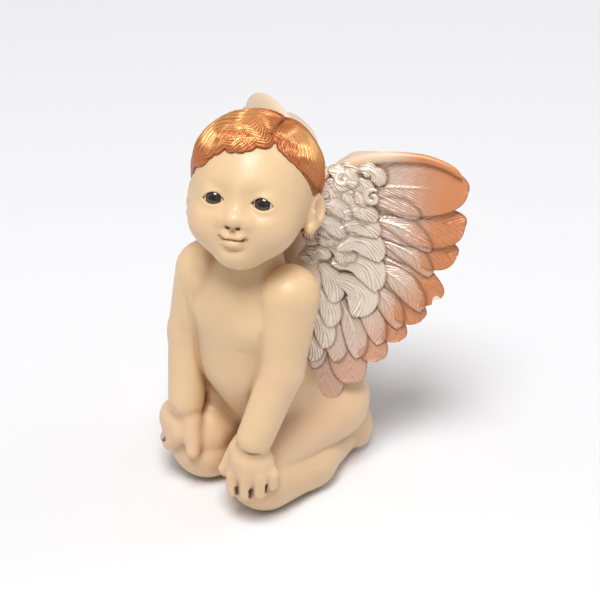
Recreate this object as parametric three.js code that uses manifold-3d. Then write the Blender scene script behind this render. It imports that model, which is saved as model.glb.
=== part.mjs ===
// Kneeling cherub figurine in cold-cast resin, millimetres, +Z up.
// The figure faces -Y, its left side is +X, and the origin is on the underside of the felt sheet.
// It is assembled from a kneeling body casting, a head that seats on the neck stump, a hair cap over the
// crown, two ball eyes with dark iris buttons, two winged castings on round tenons, and a felt sheet.
import * as THREE from "three";
import { mergeVertices } from "three/addons/utils/BufferGeometryUtils.js";
import Module from "manifold-3d";

const wasm = await Module();
wasm.setup();

// ---------- driving dimensions ----------
const FELT = 0.6; // felt sheet thickness
const FIT_GAP = 0.3; // clearance between castings that seat on each other
const AROUND = 12; // segments round a limb
const CAP_STEPS = 3; // segments along a limb's round end

const SHOULDER = { left: [10.8, -13.8, 56.4], right: [-10.8, -16.6, 55.8] };
const ELBOW = { left: [12.6, -18.3, 39.5], right: [-14.2, -19.3, 39.5] };
const WRIST = { left: [10.5, -25.4, 24.0], right: [-11.8, -23.6, 23.0] };
const HIP = { left: [7.6, 3.2, 16.6], right: [-9.6, 3.2, 16.6] };
const KNEE = { left: [6.8, -20.3, 10.2], right: [-10.8, -19.3, 10.2] };
const ANKLE = { left: [9.0, 7.4, 5.2], right: [-11.5, 7.4, 5.2] };

const HEAD_CENTRE = [-0.6, -11.8, 79.0];
const HEAD_YAW = THREE.MathUtils.degToRad(24.5); // turned to its own left
const HEAD_PITCH = THREE.MathUtils.degToRad(-22); // looking up
const HAIR_THICK = 1.3;

const EYE_RADIUS = 3.1;
const EYE_PLACE = [5.4, -10.3, -1.6]; // left eye's centre in the head's own frame
const IRIS_RADIUS = 1.9;
const IRIS_DEPTH = 1.0;

const WING_THICK = 2.6;
const WING_SWEEP = THREE.MathUtils.degToRad(25); // how far the wings are swept back
const WING_TILT = THREE.MathUtils.degToRad(8); // how far their tops lean back
const WING_ORIGIN = [3.0, 11.0, 60.0];
const WING_WRAP = new THREE.Vector3(0.5, -0.64, 0.59).normalize(); // the way the low feathers wrap forward
const WING_MIDLINE = 0.5; // half the gap between the two wings
const TENON_RADIUS = 2.0;
const TENON_LENGTH = 6.0;
const TENON_PLACE = [5.2, -5.0, 51.5];

// ---------- solids from three.js geometries ----------
function solidOf(geometry, matrix = new THREE.Matrix4()) {
  const bare = (geometry.index ? geometry.toNonIndexed() : geometry).clone().applyMatrix4(matrix);
  bare.deleteAttribute("normal");
  bare.deleteAttribute("uv");
  const merged = mergeVertices(bare, 1e-4);
  return new wasm.Manifold(
    new wasm.Mesh({
      numProp: 3,
      vertProperties: merged.attributes.position.array,
      triVerts: new Uint32Array(merged.index.array),
    }),
  );
}

const union = (solids) => solids.reduce((all, next) => all.add(next));

function geometryOf(solid) {
  const mesh = solid.getMesh();
  return new THREE.BufferGeometry()
    .setAttribute("position", new THREE.BufferAttribute(new Float32Array(mesh.vertProperties), 3))
    .setIndex(new THREE.BufferAttribute(new Uint32Array(mesh.triVerts), 1));
}

// An ellipsoid at centre with three half-axes, each made larger by grow.
function ball(centre, halfAxes, grow = 0, frame = new THREE.Matrix4()) {
  const geometry = new THREE.SphereGeometry(1, 14, 10);
  const shape = new THREE.Matrix4()
    .makeTranslation(...centre)
    .multiply(new THREE.Matrix4().makeScale(...halfAxes.map((r) => r + grow)));
  return solidOf(geometry, frame.clone().multiply(shape));
}

// A limb: the hull of a ball at each end, turned on a lathe as an arc, a straight flank and an arc.
function limb(from, to, radiusFrom, radiusTo, grow = 0) {
  const a = new THREE.Vector3(...from);
  const b = new THREE.Vector3(...to);
  const length = a.distanceTo(b);
  const ra = radiusFrom + grow;
  const rb = radiusTo + grow;
  const lean = Math.asin((ra - rb) / length); // the flank's angle to the limb's axis
  const outline = [];
  for (let i = 0; i <= CAP_STEPS; i++) {
    const t = -Math.PI / 2 + ((Math.PI / 2 + lean) * i) / CAP_STEPS;
    outline.push(new THREE.Vector2(Math.max(0, ra * Math.cos(t)), ra * Math.sin(t)));
  }
  for (let i = 0; i <= CAP_STEPS; i++) {
    const t = lean + ((Math.PI / 2 - lean) * i) / CAP_STEPS;
    outline.push(new THREE.Vector2(Math.max(0, rb * Math.cos(t)), length + rb * Math.sin(t)));
  }
  outline[0].x = 0;
  outline[outline.length - 1].x = 0;
  const turn = new THREE.Quaternion().setFromUnitVectors(
    new THREE.Vector3(0, 1, 0),
    b.clone().sub(a).normalize(),
  );
  const place = new THREE.Matrix4().compose(a, turn, new THREE.Vector3(1, 1, 1));
  return solidOf(new THREE.LatheGeometry(outline, AROUND), place);
}

// A box from its lowest to its highest corner, in a frame.
function block(low, high, frame = new THREE.Matrix4()) {
  const size = high.map((v, i) => v - low[i]);
  const centre = high.map((v, i) => (v + low[i]) / 2);
  const place = frame.clone().multiply(new THREE.Matrix4().makeTranslation(...centre));
  return solidOf(new THREE.BoxGeometry(...size), place);
}

// A closed outline of two unequal circles joined by straight flanks, in the XY plane.
function eggShape(from, to, radiusFrom, radiusTo) {
  const a = new THREE.Vector2(...from);
  const b = new THREE.Vector2(...to);
  const heading = Math.atan2(b.y - a.y, b.x - a.x);
  const lean = Math.acos((radiusFrom - radiusTo) / a.distanceTo(b));
  const shape = new THREE.Shape();
  shape.absarc(a.x, a.y, radiusFrom, heading + lean, heading - lean + 2 * Math.PI, false);
  shape.absarc(b.x, b.y, radiusTo, heading - lean, heading + lean, false);
  return shape;
}

// ---------- the kneeling body ----------
const SIDES = ["left", "right"];
const outward = { left: 1, right: -1 };
const shifted = (point, x, y, z) => [point[0] + x, point[1] + y, point[2] + z];

function armSolids(side, grow) {
  const palm = side === "left" ? [9.4, -26.4, 17.0] : [-15.0, -23.8, 16.5];
  return [
    limb(SHOULDER[side], ELBOW[side], 7.0, 5.0, grow),
    limb(ELBOW[side], WRIST[side], 5.0, 4.6, grow),
    ball(palm, [5.6, 4.8, 5.6], grow),
  ];
}

function legSolids(side, grow) {
  const out = outward[side];
  const middle = KNEE[side].map((v, i) => (v + ANKLE[side][i]) / 2);
  return [
    limb(HIP[side], shifted(KNEE[side], 0, 1, 2.4), 10.0, 7.8, grow),
    limb(shifted(KNEE[side], out * 0.4, 0.6, -1.9), shifted(middle, out * 1.4, 0, -1.2), 8.5, 7.5, grow),
    limb(shifted(middle, out * 1.4, 0, -1.2), ANKLE[side], 7.3, 5.0, grow),
    limb(shifted(KNEE[side], out * 0.4, 1.0, -3.4), shifted(middle, out * 1.8, 0, -1.8), 7.8, 6.6, grow),
    ball(shifted(ANKLE[side], out * 1.0, 1.4, 2.4), [4.2, 4.4, 4.2], grow),
    ball(shifted(ANKLE[side], out * 1.4, 3.6, -0.8), [4.4, 4.6, 4.2], grow),
    ball(shifted(HIP[side], -out * 0.8, 2.8, 1.0), [9.6, 8.6, 9.6], grow),
  ];
}

function torsoSolids(grow) {
  return [
    ball([0, -15.0, 50.5], [12.2, 9.0, 11.5], grow),
    ball([-0.4, -12.6, 33.5], [12.6, 11.8, 14.0], grow),
    ball([-1.6, -6.0, 4.0], [8.0, 10.0, 6.0], grow),
    ball([-0.8, -4.0, 22.0], [13.0, 13.0, 10.5], grow),
    limb([0, -9.5, 33.0], [0, -13.0, 50.0], 10.5, 9.0, grow),
    limb([0, -14.3, 55], [-0.4, -13.0, 68], 8.0, 6.0, grow),
  ];
}

// The body's solid on a flat underside; grow swells it to cut clearance in what seats on it.
function bodySolid(grow = 0) {
  const pieces = [torsoSolids(grow), ...SIDES.flatMap((s) => [armSolids(s, grow), legSolids(s, grow)])];
  return union(pieces.flat()).subtract(block([-60, -60, -30], [60, 60, FELT - grow]));
}

// ---------- the head and what it carries ----------
const headFrame = new THREE.Matrix4()
  .makeTranslation(...HEAD_CENTRE)
  .multiply(new THREE.Matrix4().makeRotationZ(HEAD_YAW))
  .multiply(new THREE.Matrix4().makeRotationX(HEAD_PITCH));
const mirrored = (point, side) => [point[0] * outward[side], point[1], point[2]];

function headSolid(grow = 0) {
  const cheeksAndEars = SIDES.flatMap((side) => [
    ball(mirrored([6.0, -8.6, -6.4], side), [5.6, 5.4, 5.6], grow, headFrame),
    ball(mirrored([13.8, 1.6, -4.0], side), [1.7, 3.0, 4.0], grow, headFrame),
  ]);
  return union([
    ball([0, 1.4, 1.6], [13.9, 15.3, 14.0], grow, headFrame),
    ball([0, -5.4, -6.2], [11.4, 9.8, 9.6], grow, headFrame),
    ball([0, -8.4, -11.8], [5.0, 5.2, 4.2], grow, headFrame),
    ball([0, -15.0, -4.8], [2.0, 2.2, 1.6], grow, headFrame),
    ...cheeksAndEars,
  ]);
}

// The cap of hair: a swollen crown with the skull taken out, cut by the hairline plane.
function hairSolid() {
  const hairline = new THREE.Matrix4()
    .makeTranslation(0, -12.6, 8.6)
    .multiply(new THREE.Matrix4().makeRotationX(-Math.atan(0.7)));
  const crown = ball([0, 1.4, 1.6], [13.9, 15.3, 14.0], HAIR_THICK + FIT_GAP, headFrame);
  const below = block([-60, -60, -60], [60, 60, 0], headFrame.clone().multiply(hairline));
  return crown.subtract(below).subtract(headSolid(FIT_GAP));
}

// The socket's ball is larger than the eye by the clearance.
const eyeBall = (side, grow = 0) => ball(mirrored(EYE_PLACE, side), [EYE_RADIUS, EYE_RADIUS, EYE_RADIUS], grow, headFrame);

// A short cylinder along the line of sight, from inside the eye to in front of it.
function sightCylinder(side, radius, from, to) {
  const [x, y, z] = mirrored(EYE_PLACE, side);
  const place = headFrame.clone().multiply(new THREE.Matrix4().makeTranslation(x, y - (from + to) / 2, z));
  return solidOf(new THREE.CylinderGeometry(radius, radius, to - from, 16), place);
}

function eyeSolid(side) {
  const recess = sightCylinder(side, IRIS_RADIUS + FIT_GAP / 2, EYE_RADIUS - IRIS_DEPTH - FIT_GAP, EYE_RADIUS + 1);
  return eyeBall(side).subtract(recess);
}

const irisSolid = (side) =>
  eyeBall(side).intersect(sightCylinder(side, IRIS_RADIUS, EYE_RADIUS - IRIS_DEPTH, EYE_RADIUS + 1));

// ---------- the wings ----------
const wingOut = new THREE.Vector3(Math.cos(WING_SWEEP), Math.sin(WING_SWEEP), 0);
const wingBack = new THREE.Vector3(-Math.sin(WING_SWEEP), Math.cos(WING_SWEEP), 0);
const wingUp = new THREE.Vector3(0, 0, Math.cos(WING_TILT)).addScaledVector(wingBack, Math.sin(WING_TILT));

// A point of the left wing's middle surface: out and up in its plane, then wrapped forward.
function wingPoint([out, up, wrap = 0]) {
  return new THREE.Vector3(...WING_ORIGIN)
    .addScaledVector(wingOut, out)
    .addScaledVector(wingUp, up)
    .addScaledVector(WING_WRAP, wrap);
}

// Feathers from the top of the wing to its foot: quill end and tip as [out, up, wrap], and their radii.
const FEATHERS = [
  { quill: [1.5, 8.5], tip: [10.5, 14.6], radii: [5.6, 6.0] },
  { quill: [4, 10], tip: [25, 14.2], radii: [5, 6.9] },
  { quill: [5, 4], tip: [25.2, 4.6], radii: [4.5, 6.0] },
  { quill: [5, -1], tip: [23.5, -3.0], radii: [4.5, 5.8] },
  { quill: [4, -6], tip: [20.3, -15.2], radii: [5, 5.9] },
  { quill: [3.5, -10, 2], tip: [15.2, -22.7, 0.5], radii: [5, 5.2] },
  { quill: [3, -12, 4], tip: [11.1, -29.0, 3], radii: [5, 5.2] },
  { quill: [2, -14, 6], tip: [5.3, -35.8, 8], radii: [5, 5] },
  { quill: [1.5, -14, 8], tip: [-0.1, -40.2, 12], radii: [5, 4.8] },
];

// One feather: an egg outline from quill to tip, extruded through the wing's thickness. Its sheet
// leans with the line between the tips of its neighbours, so that the fan of feathers stays smooth.
function featherSolid({ quill, tip, radii }, i) {
  const a = wingPoint(quill);
  const along = wingPoint(tip).sub(a);
  const length = along.length();
  along.normalize();
  const above = wingPoint(FEATHERS[Math.max(i - 1, 0)].tip);
  const below = wingPoint(FEATHERS[Math.min(i + 1, FEATHERS.length - 1)].tip);
  const face = new THREE.Vector3().crossVectors(above.sub(below), along).normalize();
  const across = new THREE.Vector3().crossVectors(face, along);
  const place = new THREE.Matrix4().makeBasis(along, across, face).setPosition(a);
  const shape = eggShape([0, 0], [length, 0], ...radii);
  const sheet = new THREE.ExtrudeGeometry(shape, { depth: WING_THICK, bevelEnabled: false, curveSegments: 5 });
  sheet.translate(0, 0, -WING_THICK / 2);
  return solidOf(sheet, place);
}

// The tenon that locates a wing in the back, running straight forward into the body.
function tenonSolid(grow = 0) {
  const geometry = new THREE.CylinderGeometry(TENON_RADIUS + grow, TENON_RADIUS + grow, TENON_LENGTH + 8, 16);
  const [x, y, z] = TENON_PLACE;
  return solidOf(geometry, new THREE.Matrix4().makeTranslation(x, y + 4 - TENON_LENGTH / 2 - grow, z));
}

const handed = (solid, side) => (side === "left" ? solid : solid.mirror([1, 0, 0]));
const clearBody = bodySolid(FIT_GAP);
const sockets = union(SIDES.map((side) => handed(tenonSolid(FIT_GAP), side)));

function wingSolid(side) {
  const root = [
    limb([5.2, -4.5, 51.5], [5.8, 9.5, 58.0], 4.4, 4.6),
    limb([5.8, 9.0, 57.0], wingPoint([4, 8]).toArray(), 4.4, 3.4),
    limb([5.2, -2.0, 45.0], wingPoint([4, -12, 4]).toArray(), 3.4, 3.2),
  ];
  return handed(union([...FEATHERS.map(featherSolid), ...root]), side)
    .subtract(clearBody)
    .subtract(headSolid(FIT_GAP + HAIR_THICK + FIT_GAP))
    .add(handed(tenonSolid().subtract(block([-60, 4, 0], [60, 60, 100])), side))
    .subtract(handed(block([-80, -80, -10], [WING_MIDLINE, 80, 120]), side));
}

// ---------- the felt sheet ----------
function feltSolid() {
  const pads = SIDES.map((side) => {
    const front = shifted(KNEE[side], 0, 2.2, 0).slice(0, 2);
    const rear = shifted(ANKLE[side], 0, -2.4, 0).slice(0, 2);
    const shape = eggShape(front, rear, 3.8, 2.4);
    return solidOf(new THREE.ExtrudeGeometry(shape, { depth: FELT, bevelEnabled: false, curveSegments: 8 }));
  });
  return union([...pads, block([-10, -11, 0], [7, 2, FELT])]);
}

// ---------- materials ----------
const flesh = new THREE.MeshStandardMaterial({ color: 0xe6c9a0, roughness: 0.45, metalness: 0 });
const copper = new THREE.MeshStandardMaterial({ color: 0xc87a4a, roughness: 0.35, metalness: 0.6 });
const pearl = new THREE.MeshStandardMaterial({ color: 0xd9c3b4, roughness: 0.35, metalness: 0.4 });
const eyeWhite = new THREE.MeshStandardMaterial({ color: 0xf0e8dc, roughness: 0.1, metalness: 0 });
const iris = new THREE.MeshStandardMaterial({ color: 0x1c120c, roughness: 0.05, metalness: 0 });
const felt = new THREE.MeshStandardMaterial({ color: 0x4a372c, roughness: 0.95, metalness: 0 });

// ---------- assembly ----------
const figurine = new THREE.Group();

function addPiece(name, solid, material) {
  const mesh = new THREE.Mesh(geometryOf(solid), material);
  mesh.name = name;
  figurine.add(mesh);
}

const eyeSockets = eyeBall("left", FIT_GAP).add(eyeBall("right", FIT_GAP));

addPiece("felt_sheet", feltSolid(), felt);
addPiece("kneeling_body", bodySolid().subtract(sockets), flesh);
addPiece("head", headSolid().subtract(clearBody).subtract(eyeSockets), flesh);
addPiece("hair_cap", hairSolid(), copper);
addPiece("left_eye", eyeSolid("left"), eyeWhite);
addPiece("right_eye", eyeSolid("right"), eyeWhite);
addPiece("left_iris", irisSolid("left"), iris);
addPiece("right_iris", irisSolid("right"), iris);
addPiece("left_wing", wingSolid("left"), pearl);
addPiece("right_wing", wingSolid("right"), pearl);

export default figurine;
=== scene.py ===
import bpy
import numpy as np
from mathutils import Euler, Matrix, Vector
from mathutils.kdtree import KDTree


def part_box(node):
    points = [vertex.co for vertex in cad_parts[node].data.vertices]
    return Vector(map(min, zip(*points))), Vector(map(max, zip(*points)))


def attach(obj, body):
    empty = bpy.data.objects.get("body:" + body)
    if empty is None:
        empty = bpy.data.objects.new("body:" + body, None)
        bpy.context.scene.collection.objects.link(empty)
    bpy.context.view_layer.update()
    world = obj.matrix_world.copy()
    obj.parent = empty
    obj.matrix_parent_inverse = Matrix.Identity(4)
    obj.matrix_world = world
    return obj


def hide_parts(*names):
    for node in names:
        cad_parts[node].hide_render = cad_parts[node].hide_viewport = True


bl_info = {
    "name": "Kneeling Cherub Figurine",
    "version": (1, 0, 0),
    "blender": (4, 5, 0),
    "location": "View3D > Sidebar > Cherub",
    "description": "Builds the visible surfaces of a painted resin cherub around its solid frame",
    "category": "Add Mesh",
}

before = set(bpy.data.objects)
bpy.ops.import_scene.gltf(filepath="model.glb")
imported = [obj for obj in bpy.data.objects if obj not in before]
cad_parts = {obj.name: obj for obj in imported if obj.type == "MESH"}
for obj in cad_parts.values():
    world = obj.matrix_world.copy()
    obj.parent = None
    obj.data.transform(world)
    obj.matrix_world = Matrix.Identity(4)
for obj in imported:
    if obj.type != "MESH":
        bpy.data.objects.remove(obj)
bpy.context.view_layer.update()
MM = 0.001  # every shape below is worked out in millimetres and stored in metres


def turn_z(degrees):
    """Rotation matrix about Z."""
    c, s = np.cos(np.radians(degrees)), np.sin(np.radians(degrees))
    return np.array([[c, -s, 0], [s, c, 0], [0, 0, 1.0]])


def turn_x(degrees):
    """Rotation matrix about X."""
    c, s = np.cos(np.radians(degrees)), np.sin(np.radians(degrees))
    return np.array([[1.0, 0, 0], [0, c, -s], [0, s, c]])


# ------------------------------------------------------------------ sizes shared by the pieces
FELT_TOP = 0.6
SHOULDER = {1: (10.8, -13.8, 56.4), -1: (-10.8, -16.6, 55.8)}
ELBOW = {1: (12.6, -18.3, 39.5), -1: (-14.3, -19.3, 39.5)}
WRIST = {1: (10.4, -25.4, 24.0), -1: (-12.0, -23.6, 23.0)}
HIP = {1: (7.6, 3.2, 16.6), -1: (-9.6, 3.2, 16.6)}
KNEE = {1: (6.8, -20.3, 10.2), -1: (-10.8, -19.3, 10.2)}
ANKLE = {1: (9.0, 7.4, 5.2), -1: (-11.5, 7.4, 5.2)}
HEAD_CENTRE = np.array([-0.6, -11.8, 79.0])
HEAD_TURN = turn_z(24.5) @ turn_x(-22)
SKULL_CENTRE = np.array([0.0, 1.4, 1.6])
SKULL = np.array([13.8, 15.2, 13.9])
EYE = np.array([5.4, -10.0, -1.6])
EYE_RADIUS = 3.1


# ------------------------------------------------------------------ modelling with distance fields
def egg(p, centre, radii, turn=None):
    """Distance to an ellipsoid: k (k - 1) / |grad k|, with k the point's length in units of the radii."""
    q = p - np.array(centre, np.float32)
    if turn is not None:
        q = q @ turn
    r = np.array(radii, np.float32)
    k = np.sqrt(((q / r) ** 2).sum(-1))
    return k * (k - 1) / (np.sqrt(((q / (r * r)) ** 2).sum(-1)) + 1e-9)


def limb(p, a, b, ra, rb):
    """Distance to a round cone: the hull of a ball of radius ra at a and one of radius rb at b."""
    a, b = np.array(a, np.float32), np.array(b, np.float32)
    axis = b - a
    length2 = axis @ axis
    slope = ra - rb
    flank2 = length2 - slope * slope
    from_a = p - a
    along = from_a @ axis
    past = along - length2
    side2 = ((from_a * length2 - along[..., None] * axis) ** 2).sum(-1)
    key = np.sign(slope) * slope * slope * side2
    at_b = np.sign(past) * flank2 * past * past * length2 > key
    at_a = (np.sign(along) * flank2 * along * along * length2 < key) & ~at_b
    d = (np.sqrt(side2 * flank2 / length2) + along * slope) / length2 - ra
    d = np.where(at_b, np.sqrt(side2 + past * past * length2) / length2 - rb, d)
    return np.where(at_a, np.sqrt(side2 + along * along * length2) / length2 - ra, d)


def blend(a, b, k):
    """Union of two fields with a fillet of size k: the lower one, less k h (1 - h) where they are close."""
    h = np.clip(0.5 + 0.5 * (b - a) / k, 0, 1)
    return b + (a - b) * h - k * h * (1 - h)


def carve(a, b, k):
    """Field a with b taken out, its edge rounded by k."""
    return -blend(-a, b, k)


def smooth(x, low, high):
    """0 below low, 1 above high, and 3 t t - 2 t t t between."""
    t = np.clip((x - low) / (high - low), 0, 1)
    return t * t * (3 - 2 * t)


def slope_of(field, p, step=0.06):
    """Gradient of a field by central differences."""
    e = np.eye(3, dtype=np.float32) * step
    return np.stack([field(p + e[i]) - field(p - e[i]) for i in range(3)], -1) / (2 * step)


def sample_band(field, low, count, cell, block=6, slack=1.2):
    """Field on a grid: one value for each block of nodes, and every node's own value in the blocks
    that the surface can reach."""
    reach = block * cell * 0.87 + slack
    centres = [low[i] + cell * (block * np.arange(-(-count[i] // block)) + (block - 1) / 2) for i in range(3)]
    rough = field(np.stack(np.meshgrid(*centres, indexing="ij"), -1).astype(np.float32))
    values = rough
    for axis in range(3):
        values = np.repeat(values, block, axis)
    values = values[: count[0], : count[1], : count[2]].astype(np.float32)
    near = np.argwhere(np.abs(values) < reach)
    points = (np.array(low) + cell * near).astype(np.float32)
    exact = np.concatenate([field(part) for part in np.array_split(points, max(1, len(points) // 150000))])
    values[near[:, 0], near[:, 1], near[:, 2]] = exact
    return values


def skin_of(field, low, high, cell):
    """Quads over a field's zero surface. Each grid cell that the surface crosses gets a point at the mean
    of its edge crossings, each crossed edge a quad through its four cells, and the points are then drawn
    onto the surface along the gradient."""
    low = np.array(low, float)
    count = np.ceil((np.array(high) - low) / cell).astype(int) + 1
    values = sample_band(field, low, count, cell)
    inside = values < 0
    corners = [(a, b, c) for a in (0, 1) for b in (0, 1) for c in (0, 1)]
    cut = [slice(0, n - 1) for n in count], [slice(1, n) for n in count]
    filled = sum(inside[tuple(cut[c[i]][i] for i in range(3))].astype(np.int8) for c in corners)
    active = (filled > 0) & (filled < 8)
    cells = np.argwhere(active)
    number = np.full(active.shape, -1)
    number[active] = np.arange(len(cells))
    total, weight = np.zeros((len(cells), 3)), np.zeros(len(cells))
    for a in corners:
        for axis in range(3):
            if a[axis]:
                continue
            b = list(a)
            b[axis] = 1
            va = values[tuple((cells + a).T)].astype(float)
            vb = values[tuple((cells + b).T)].astype(float)
            crossed = (va < 0) != (vb < 0)
            place = np.tile(np.array(a, float), (len(cells), 1))
            place[:, axis] = va / (va - vb + 1e-12)
            total[crossed] += place[crossed]
            weight[crossed] += 1
    points = low + cell * (cells + total / weight[:, None])
    faces = []
    for axis in range(3):
        u, v = [i for i in range(3) if i != axis]
        ahead = tuple(slice(1, None) if i == axis else slice(None) for i in range(3))
        behind = tuple(slice(None, -1) if i == axis else slice(None) for i in range(3))
        edges = np.argwhere(inside[ahead] != inside[behind])
        low_enough = (edges[:, u] < count[u] - 1) & (edges[:, v] < count[v] - 1)
        edges = edges[(edges[:, u] > 0) & (edges[:, v] > 0) & low_enough]
        around = []
        for du, dv in ((1, 1), (0, 1), (0, 0), (1, 0)):
            step = np.zeros(3, int)
            step[u], step[v] = du, dv
            around.append(number[tuple((edges - step).T)])
        quads = np.stack(around, 1)
        outward = inside[tuple(edges.T)] ^ (axis == 1)
        faces.append(np.where(outward[:, None], quads, quads[:, ::-1]))
    for _ in range(2):
        p = points.astype(np.float32)
        g = slope_of(field, p)
        step = (field(p) / (g * g).sum(-1).clip(0.2))[:, None] * g
        points = points - step.clip(-0.6 * cell, 0.6 * cell)
    return points, np.concatenate(faces)


def hollow_depth(field, points, reach):
    """How deep a point lies in a crease, 0 to 1: how far the field falls short of reach, reach outwards. It
    sets the skin's brown antiquing and painted shade.
    """
    p = points.astype(np.float32)
    g = slope_of(field, p)
    g = g / np.linalg.norm(g, axis=-1, keepdims=True).clip(1e-6)
    return np.clip((reach - field(p + g * reach)) / reach, 0, 1)


# ------------------------------------------------------------------ modelling with lofts
def loft(rings):
    """A closed skin over rings[i, j], round j and along i, with a fan to a middle point at each end. Its
    faces are turned round if the volume they enclose comes out negative."""
    n, m = rings.shape[:2]
    points = np.concatenate([rings.reshape(-1, 3), rings[:1].mean(1), rings[-1:].mean(1)])
    i, j = np.meshgrid(np.arange(n - 1), np.arange(m), indexing="ij")
    a, b = i * m + j, i * m + (j + 1) % m
    quads = np.stack([a, b, b + m, a + m], -1).reshape(-1, 4)
    ring = np.arange(m)
    after = (ring + 1) % m
    last = (n - 1) * m
    fans = np.concatenate(
        [
            np.stack([after, ring, np.full(m, n * m)], 1),
            np.stack([ring + last, after + last, np.full(m, n * m + 1)], 1),
        ]
    )
    thirds = np.concatenate([quads[:, [0, 1, 2]], quads[:, [0, 2, 3]], fans])
    corner = points[thirds] - points.mean(0)
    if np.einsum("ij,ij->i", corner[:, 0], np.cross(corner[:, 1], corner[:, 2])).sum() < 0:
        quads, fans = quads[:, ::-1], fans[:, ::-1]
    return points, quads, fans


def per_point(values):
    """A value on every ring point, carried on to the two end points of its loft."""
    flat = values.reshape(values.shape[0] * values.shape[1], *values.shape[2:])
    return np.concatenate([flat, values[:1].mean(1), values[-1:].mean(1)])


def joined(lofts):
    """Several lofts as one: points, quads, fans, and each named value, laid end to end."""
    points, quads, fans, start = [], [], [], 0
    for p, q, f, _ in lofts:
        points.append(p)
        quads.append(q + start)
        fans.append(f + start)
        start += len(p)
    names = lofts[0][3].keys()
    values = {name: np.concatenate([item[3][name] for item in lofts]) for name in names}
    return np.concatenate(points), [np.concatenate(quads), np.concatenate(fans)], values


def add_piece(name, points, faces, material, values=None, uv=None, slot=None, replaces=()):
    """Puts points in millimetres and lists of faces into a smooth-shaded object that rides on the root."""
    mesh = bpy.data.meshes.new(name)
    polygons = [face for part in faces for face in part.tolist()]
    mesh.from_pydata((points * MM).tolist(), [], polygons)
    mesh.polygons.foreach_set("use_smooth", np.ones(len(polygons), bool))
    for key, value in (values or {}).items():
        layer = mesh.attributes.new(key, "FLOAT", "POINT")
        layer.data.foreach_set("value", value.astype(np.float32))
    if uv is not None:
        corner = np.empty(len(mesh.loops), np.int32)
        mesh.loops.foreach_get("vertex_index", corner)
        layer = mesh.uv_layers.new(name="UVMap")
        layer.data.foreach_set("uv", uv[corner].astype(np.float32).ravel())
    mesh.update()
    piece = bpy.data.objects.new(name, mesh)
    bpy.context.scene.collection.objects.link(piece)
    mesh.materials.append(material)
    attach(piece, "root")
    if replaces:
        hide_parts(*replaces)
    return piece


# ------------------------------------------------------------------ the kneeling body
LEFT_FINGERS = (
    ((6.6, -28.4, 13.4), (6.8, -28.9, 9.4), 1.9, 1.75),
    ((10.1, -28.1, 13.8), (10.2, -28.5, 9.6), 1.85, 1.7),
    ((13.0, -26.7, 14.4), (13.1, -27.1, 10.6), 1.75, 1.6),
    ((14.6, -24.7, 15.0), (14.7, -24.9, 12.2), 1.6, 1.4),
)
RIGHT_FINGERS = (
    ((-11.6, -26.4, 15.0), (-14.8, -26.6, 11.0), 2.1, 1.8),
    ((-14.6, -25.6, 14.6), (-17.6, -24.6, 10.2), 2.0, 1.7),
    ((-17.0, -24.0, 15.0), (-19.4, -22.4, 11.4), 1.9, 1.6),
    ((-18.4, -21.8, 16.0), (-20.2, -20.0, 13.0), 1.8, 1.5),
)
THUMBS = (
    ((5.2, -25.4, 18.4), (3.2, -27.4, 12.6), 2.2, 1.8),
    ((-9.4, -24.6, 19.0), (-7.6, -26.6, 12.0), 2.3, 1.7),
)
FINGER_GAPS = (
    ((8.4, -29.7, 10.9), (8.5, -29.8, 9.2)),
    ((11.7, -28.8, 11.4), (11.8, -28.9, 9.6)),
    ((14.3, -26.7, 13.0), (14.3, -26.9, 11.4)),
    ((-10.6, -28.6, 11.6), (-14.0, -28.6, 9.2)),
    ((-15.4, -27.6, 12.4), (-17.2, -26.4, 10.0)),
    ((1.9, -28.8, 10.6), (2.3, -29.1, 12.2)),
)


def hand_field(p, side):
    """A chubby hand on its knee: an egg for the palm, round cones for four fingers and a thumb."""
    if side > 0:
        d = egg(p, (9.6, -25.8, 17.0), (5.2, 4.0, 5.2), turn_z(24))
        fingers, thumb = LEFT_FINGERS, THUMBS[0]
    else:
        d = egg(p, (-14.2, -23.2, 16.4), (6.0, 4.8, 5.0), turn_z(-22))
        fingers, thumb = RIGHT_FINGERS, THUMBS[1]
    hands = limb(p, *fingers[0])
    for finger in fingers[1:]:
        hands = blend(hands, limb(p, *finger), 0.35)
    return blend(blend(d, hands, 1.6), limb(p, *thumb), 1.2)


def arm_field(p, side):
    """Upper arm and forearm as round cones, filleted at the elbow."""
    upper = limb(p, SHOULDER[side], ELBOW[side], 7.0, 4.8)
    return blend(upper, limb(p, ELBOW[side], WRIST[side], 4.8, 4.2), 1.2)


def leg_field(p, side):
    """A folded leg: thigh and two-part calf as round cones, two eggs for the heel and ball, five toes."""
    knee, hip, ankle = (np.array(place[side]) for place in (KNEE, HIP, ANKLE))
    middle = (knee + ankle) / 2 + (side * 2.0, 0, -1.4)
    thigh = limb(p, hip, knee + (-side * 0.4, 1.0, 2.8), 10.0, 7.4)
    calf = limb(p, knee + (side * 0.4, 1.0, -1.8), middle + (0, 0, 0.2), 8.3, 6.9)
    calf = blend(calf, limb(p, knee + (side * 0.4, 2.0, -3.6), middle + (0, 0, -0.6), 7.8, 6.6), 1.0)
    calf = blend(calf, limb(p, middle, ankle, 6.9, 4.9), 2.0)
    foot = blend(
        egg(p, ankle + (side * 1.0, 1.6, 4.4), (4.4, 4.5, 4.4)),
        egg(p, ankle + (side * 1.4, 3.6, 1.4), (4.8, 4.6, 5.8)),
        2.8,
    )
    toes = 99.0
    for i in range(5):
        spread = i - 2
        tip = ankle + (side * 1.4 + spread * 1.6, 5.4 - 0.3 * spread * spread, -2.2)
        toes = np.minimum(toes, limb(p, tip - (spread * 0.3, 2.2, 0), tip, 1.2, 1.05))
    foot = blend(foot, toes, 0.7)
    return blend(blend(thigh, calf, 0.3), foot, 1.0)


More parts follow.
